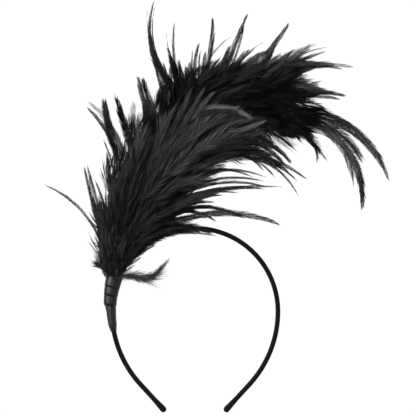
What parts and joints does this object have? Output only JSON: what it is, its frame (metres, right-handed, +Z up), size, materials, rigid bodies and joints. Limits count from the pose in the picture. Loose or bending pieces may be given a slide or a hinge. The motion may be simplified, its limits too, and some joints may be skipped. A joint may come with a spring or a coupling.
{
  "type": "flapper feather headband",
  "caption": "Black hair hoop with a tall curved spray of coque feathers bound to one side with satin ribbon, lying on its side.",
  "frame": {"origin": "middle of the underside of the whole, on the surface that the headband lies on", "axes": "+Y from the hoop's open ends towards its crown, along the longest extent; +Z up from the surface, along the hoop's own axis and the shortest extent; +X to the right of the picture, away from the side where the spray is bound"},
  "size_m": [0.2736, 0.3222, 0.0554],
  "materials": {
    "band_fabric": "satin",
    "satin_ribbon": "glossy",
    "dyed_feather": "matte",
    "down_feather": "matte"
  },
  "bodies": {
    "root": {"band": "band_fabric", "ribbon_binding": "satin_ribbon", "rear_plume": "dyed_feather", "front_plume": "dyed_feather", "downy_feather": "down_feather"}
  },
  "joints": []
}
